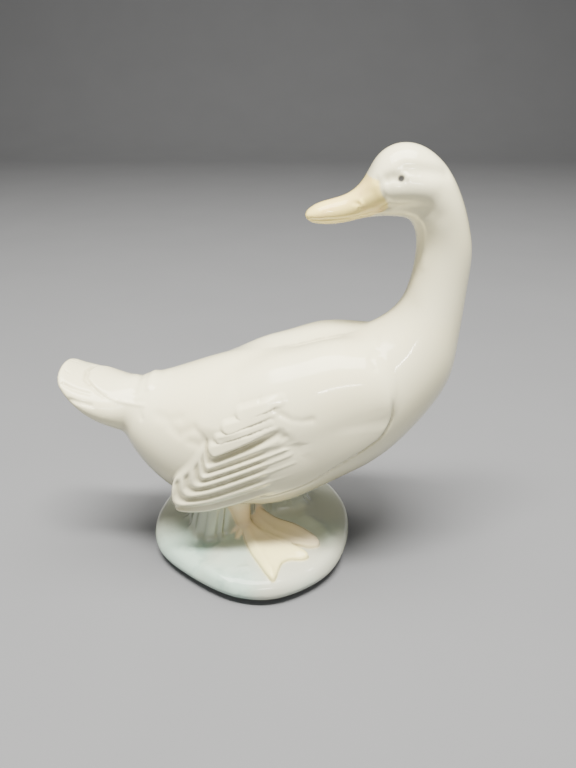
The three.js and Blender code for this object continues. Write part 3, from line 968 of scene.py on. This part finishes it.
# Where the feathers end and the bill begins: height, and x on the flank of the head.
BILL_EDGE = [
    (131, 33), (134, 36), (137.3, 40), (138.9, 43.2), (140, 44.3), (141.4, 44.1), (143, 43.1),
    (144.4, 42), (146.2, 41.1), (149, 40.7), (149.8, 37.5), (151, 32),
]
BILL_EDGE_X = (-0.5, 0.6)
BILL_FADE_Z = (125, 130)
# Bend of a full hollow, rounds of softening, and distances from the stand over which the painted shade in
# hollows comes in.
FULL_BEND = 0.25
BEND_ROUNDS = 3
HOLLOW_FADE = (0, 3)


# How much a point belongs to one part rather than another, from 0 to 1, for the glaze colours.
def share_of(winner, other, softness):
    return np.clip(0.5 + 0.5 * (other - winner) / softness, 0, 1)


def bill_share(p):
    x, _, z = p.T
    return ramp(*BILL_EDGE_X, look_up(z, BILL_EDGE) - x) * ramp(*BILL_FADE_Z, z)


# How far a point lies below its neighbours, from 0 on open surface to 1 in a narrow groove; it sets how
# much painted shade darkens the glaze there.
def hollow_share(points, edges, normals):
    square = lengths(points[edges[:, 0]] - points[edges[:, 1]]) ** 2
    degree = np.bincount(edges.ravel(), minlength=len(points))
    first, second = (np.bincount(edges[:, k], square, len(points)) for k in (0, 1))
    spacing = (first + second) / degree
    bend = ((neighbour_mean(edges, points) - points) * normals).sum(axis=1) / spacing
    for _ in range(BEND_ROUNDS):
        bend = neighbour_mean(edges, bend)
    return np.clip(bend / FULL_BEND, 0, 1)


def colour_shares(shape, points, edges, normals):
    bird, limbs, base, clump, feet = shape.parts(points)
    ground = np.minimum(base, clump)
    walking = np.minimum(limbs, feet)
    off_stand = ramp(*HOLLOW_FADE, np.minimum(walking, ground))
    return {
        "stand": np.maximum(share_of(ground, bird, softness=1.5), share_of(walking, bird, softness=4)),
        "foot": share_of(walking, ground, softness=0.45),
        "grass": share_of(clump, base, softness=1.5),
        "bill": bill_share(points),
        # painted shade in grooves and hollows, kept off the stand
        "hollow": hollow_share(points, edges, normals) * off_stand,
    }


def placed(name, data):
    thing = bpy.data.objects.new(name, data)
    bpy.context.scene.collection.objects.link(thing)
    return thing


def mesh_object(name, points, triangles, normals, shares):
    mesh = bpy.data.meshes.new(name)
    shift = np.array((MIDDLE_X, MIDDLE_Y, 0))
    mesh.vertices.add(len(points))
    mesh.vertices.foreach_set("co", ((points - shift) * MM).ravel())
    mesh.loops.add(triangles.size)
    mesh.loops.foreach_set("vertex_index", triangles.ravel())
    mesh.polygons.add(len(triangles))
    mesh.polygons.foreach_set("loop_start", np.arange(0, triangles.size, 3))
    mesh.update(calc_edges=True)
    mesh.validate()
    mesh.polygons.foreach_set("use_smooth", np.ones(len(mesh.polygons), bool))
    mesh.normals_split_custom_set_from_vertices(normals)
    for attribute, share in shares.items():
        layer = mesh.attributes.new(attribute, "FLOAT", "POINT")
        layer.data.foreach_set("value", share)
    return placed(name, mesh)


# Constants set on the sockets of a node.
def set_inputs(node, values):
    for name, value in values.items():
        node.inputs[name].default_value = value


# Node tree of one material, with a method for each kind of node that it needs.
class Nodes:
    def __init__(self, name):
        self.material = bpy.data.materials.new(name)
        self.material.use_nodes = True
        self.tree = self.material.node_tree
        self.shader = self.tree.nodes["Principled BSDF"]

    def add(self, kind, **settings):
        node = self.tree.nodes.new(kind)
        for key, value in settings.items():
            setattr(node, key, value)
        return node

    def link(self, source, target):
        self.tree.links.new(source, target)

    def share(self, attribute):
        return self.add("ShaderNodeAttribute", attribute_name=attribute).outputs["Fac"]

    def place(self):
        return self.add("ShaderNodeTexCoord").outputs["Object"]

    def noise(self, scale, detail, roughness=0.5):
        node = self.add("ShaderNodeTexNoise")
        self.link(self.place(), node.inputs["Vector"])
        set_inputs(node, {"Scale": scale, "Detail": detail, "Roughness": roughness})
        return node.outputs["Fac"]

    def spread(self, value, low, high, to_low=0.0, to_high=1.0):
        node = self.add("ShaderNodeMapRange", interpolation_type="SMOOTHSTEP")
        self.link(value, node.inputs["Value"])
        set_inputs(node, {"From Min": low, "From Max": high, "To Min": to_low, "To Max": to_high})
        return node.outputs["Result"]

    # Patches of a second tone: noise scale, detail, roughness, and values between which it comes in.
    def patches(self, scale, detail, roughness, *between):
        return self.spread(self.noise(scale, detail, roughness), *between)

    # Outputs of a calculation with a socket and, where there is one, a constant.
    def work_out(self, kind, operation, value, constant=None):
        node = self.add(kind, operation=operation)
        self.link(value, node.inputs[0])
        if constant is not None:
            node.inputs[1].default_value = constant
        return node.outputs

    # Mix of two colours, each a socket or a linear RGB triple.
    def mix(self, share, a, b, blend="MIX"):
        node = self.add("ShaderNodeMix", data_type="RGBA", blend_type=blend)
        self.link(share, node.inputs["Factor"])
        for socket, value in ((node.inputs[6], a), (node.inputs[7], b)):
            if isinstance(value, tuple):
                socket.default_value = (*value, 1)
            else:
                self.link(value, socket)
        return node.outputs[2]

    # Distance in metres from a point on either side of the goose's middle plane.
    def distance_from(self, point):
        kind = "ShaderNodeVectorMath"
        centred = self.work_out(kind, "ADD", self.place(), (MIDDLE_X * MM, MIDDLE_Y * MM, 0))
        mirrored = self.work_out(kind, "ABSOLUTE", centred["Vector"])
        near_point = [abs(value) * MM for value in point]
        return self.work_out(kind, "DISTANCE", mirrored["Vector"], near_point)["Value"]


# Linear glaze colours.
WHITE = (0.83, 0.79, 0.56)
WARM_WHITE = (0.83, 0.775, 0.52)
BILL_COLOUR = (0.93, 0.76, 0.26)
BILL_PINK = (0.88, 0.63, 0.27)
# Foot glaze in a lit and a shaded copy: creamier at the front of the near foot, where the key lamp falls,
# and pinker behind the body's shadow line. Painted light and shade.
FOOT_PAINTED_LIT = (0.93, 0.84, 0.4)
FOOT_PAINTED_SHADE = (0.9, 0.77, 0.52)
LEG_COLOUR = (0.8, 0.63, 0.39)
GROUND_PALE = (0.4, 0.53, 0.455)
GROUND_GREEN = (0.3, 0.42, 0.365)
GROUND_WARM = (0.5, 0.51, 0.42)
# Paler, greyer ground towards the back, under the body's shadow: painted light that lifts that shade.
GROUND_PAINTED_LIGHT = (0.5, 0.52, 0.43)
GRASS_GREEN = (0.45, 0.48, 0.38)
# Painted shade that darkens the glaze in grooves and hollows, and how strongly.
HOLLOW_PAINTED_SHADE = (0.52, 0.50, 0.43)
HOLLOW_PAINTED_SHADE_STRENGTH = 0.7
EYE_GREY = (0.03, 0.03, 0.035)
EYE_RADIUS = 1.2
EYE_SOFTNESS = 0.4
EYE_STRENGTH = 0.97
# Patches of a second tone, and places in metres between which colours run into each other.
BODY_PATCHES = (28, 3, 0.5, 0.35, 0.7)
BILL_PATCHES = (110, 3, 0.5, 0.5, 0.8)
GREEN_PATCHES = (75, 4, 0.6, 0.45, 0.62)
WARM_PATCHES = (21, 2, 0.5, 0.45, 0.65)
# Y in metres over which the ground goes over to its painted light in the body's shadow.
GROUND_PAINTED_LIGHT_Y = (-0.02, 0.004)
# Y in metres over which the foot goes from its painted lit copy to its painted shaded copy, at the body's
# shadow line.
FOOT_PAINTED_SHADE_Y = (-0.025, -0.017)
LEG_Z = (0.0125, 0.0165)
# Patches of duller gloss, which end with the roughness outside and within them.
GLOSS_PATCHES = (140, 2, 0.5, 0.3, 0.7, 0.12, 0.2)
CLEAR_COAT = {"IOR": 1.5, "Coat Weight": 0.6, "Coat Roughness": 0.04}
# Faint waves in the glaze, their height in metres.
GLAZE_NOISE = (180, 2)
GLAZE_WAVES = {"Strength": 0.03, "Distance": 0.0002}


def glaze():
    n = Nodes("glazed_porcelain")
    body = n.mix(n.patches(*BODY_PATCHES), WHITE, WARM_WHITE)
    bill = n.mix(n.patches(*BILL_PATCHES), BILL_COLOUR, BILL_PINK)
    bird = n.mix(n.share("bill"), body, bill)
    place = n.add("ShaderNodeSeparateXYZ")
    n.link(n.place(), place.inputs[0])
    ground = n.mix(n.patches(*GREEN_PATCHES), GROUND_PALE, GROUND_GREEN)
    ground = n.mix(n.patches(*WARM_PATCHES), ground, GROUND_WARM)
    # Painted light on the ground towards the back, where the body's shadow falls.
    ground = n.mix(n.spread(place.outputs["Y"], *GROUND_PAINTED_LIGHT_Y), ground, GROUND_PAINTED_LIGHT)
    ground = n.mix(n.share("grass"), ground, GRASS_GREEN)
    # Painted light and shade on the feet: the lit copy in front, the shaded copy behind the shadow line.
    foot = n.mix(n.spread(place.outputs["Y"], *FOOT_PAINTED_SHADE_Y), FOOT_PAINTED_LIT, FOOT_PAINTED_SHADE)
    limb = n.mix(n.spread(place.outputs["Z"], *LEG_Z), foot, LEG_COLOUR)
    stand = n.mix(n.share("foot"), ground, limb)
    whole = n.mix(n.share("stand"), bird, stand)
    # Painted shade in grooves and hollows.
    hollow = n.work_out("ShaderNodeMath", "MULTIPLY", n.share("hollow"), HOLLOW_PAINTED_SHADE_STRENGTH)
    whole = n.mix(hollow["Value"], whole, HOLLOW_PAINTED_SHADE, "MULTIPLY")
    eye_edge = [radius * MM for radius in (EYE_RADIUS - EYE_SOFTNESS, EYE_RADIUS + EYE_SOFTNESS)]
    eye = n.spread(n.distance_from(EYE), *eye_edge, EYE_STRENGTH, 0.0)
    whole = n.mix(eye, whole, EYE_GREY)
    n.link(whole, n.shader.inputs["Base Color"])
    n.link(n.patches(*GLOSS_PATCHES), n.shader.inputs["Roughness"])
    bump = n.add("ShaderNodeBump")
    set_inputs(bump, GLAZE_WAVES)
    n.link(n.noise(*GLAZE_NOISE), bump.inputs["Height"])
    n.link(bump.outputs["Normal"], n.shader.inputs["Normal"])
    set_inputs(n.shader, CLEAR_COAT)
    return n.material


# Plain floor that bends up into a wall behind the figurine, in metres.
FLOOR_TONES = ((0.14, 0.144, 0.156), (0.152, 0.156, 0.169))
FLOOR_NOISE = (14, 3)
FLOOR_HALF = 2.0
BEND_Y = 1.2
BEND_RADIUS = 0.5
WALL_TOP = 1.6


def floor_material():
    n = Nodes("pale_paper")
    n.link(n.mix(n.noise(*FLOOR_NOISE), *FLOOR_TONES), n.shader.inputs["Base Color"])
    set_inputs(n.shader, {"Roughness": 0.8})
    return n.material


def floor():
    mesh = bpy.data.meshes.new("studio_floor")
    bend = [(BEND_Y + BEND_RADIUS * math.sin(a), BEND_RADIUS - BEND_RADIUS * math.cos(a))
            for a in np.linspace(0, math.pi / 2, 12)]
    profile = [(-FLOOR_HALF, 0), *bend, (BEND_Y + BEND_RADIUS, WALL_TOP)]
    corners = [(x, y, z) for y, z in profile for x in (-FLOOR_HALF, FLOOR_HALF)]
    faces = [(2 * i, 2 * i + 1, 2 * i + 3, 2 * i + 2) for i in range(len(profile) - 1)]
    mesh.from_pydata(corners, [], faces)
    mesh.materials.append(floor_material())
    for face in mesh.polygons:
        face.use_smooth = True
    placed("studio_floor", mesh)


# Point that the lamps shine at, and the colours of the light.
LIT_POINT = Vector((0, 0, 0.06))
WHITE_LIGHT = (1, 1, 1)
WARM_LIGHT = (1, 0.97, 0.88)
TUBE_LIGHT = (1, 0.97, 0.9)
SKY_LIGHT = (0.95, 0.97, 1, 1)
SKY_STRENGTH = 0.06


# Lamp in a direction from that point: degrees to the right of the front, degrees up, distance.
def area_light(name, right, up, distance, size, power, colour=WHITE_LIGHT):
    data = bpy.data.lights.new(name, "AREA")
    data.shape = "RECTANGLE"
    data.size, data.size_y = size
    data.energy = power
    data.color = colour
    lamp = placed(name, data)
    right, up = math.radians(right), math.radians(up)
    level = math.cos(up)
    towards = Vector((math.sin(right) * level, -math.cos(right) * level, math.sin(up)))
    lamp.location = LIT_POINT + distance * towards
    lamp.rotation_euler = (math.pi / 2 - up, 0, right)
    return lamp


def lights():
    key = area_light("ceiling_tube", -6, 74, 1.0, (0.65, 0.12), 37, WARM_LIGHT)
    key.visible_glossy = False
    area_light("ceiling_softbox", 0, 88, 1.0, (0.9, 0.7), 24, WARM_LIGHT)
    area_light("far_tube", 8, 32, 2.0, (1.1, 0.035), 12, TUBE_LIGHT)
    area_light("left_softbox", -85, 35, 1.0, (0.7, 0.7), 0.6)
    area_light("right_softbox", 85, 40, 1.0, (0.7, 0.7), 0.6)
    world = bpy.data.worlds.new("studio")
    world.use_nodes = True
    set_inputs(world.node_tree.nodes["Background"], {"Color": SKY_LIGHT, "Strength": SKY_STRENGTH})
    bpy.context.scene.world = world


# Camera above and in front, looking down at the figurine; focal length as a share of the frame's height.
CAMERA_PLACE = (0.01062, -0.24215, 0.185)
CAMERA_TILT = 65.0
SENSOR = 36.0
FOCAL_SHARE = 700 / 768


def camera():
    data = bpy.data.cameras.new("camera")
    data.sensor_fit = "VERTICAL"
    data.sensor_height = SENSOR
    data.lens = SENSOR * FOCAL_SHARE
    data.clip_start = 0.01
    view = placed("camera", data)
    view.location = CAMERA_PLACE
    view.rotation_euler = (math.radians(CAMERA_TILT), 0, 0)
    bpy.context.scene.camera = view


def figurine():
    shape = Figurine()
    points, triangles, edges = figurine_mesh(shape)
    _, slope = shape.slope(points)
    normals = slope / lengths(slope)[:, None]
    shares = colour_shares(shape, points, edges, normals)
    piece = mesh_object("goose_glazed", points, triangles, normals, shares)
    piece.data.materials.append(glaze())
    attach(piece, "root")
    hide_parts("goose_figurine")


camera()
floor()
lights()
figurine()
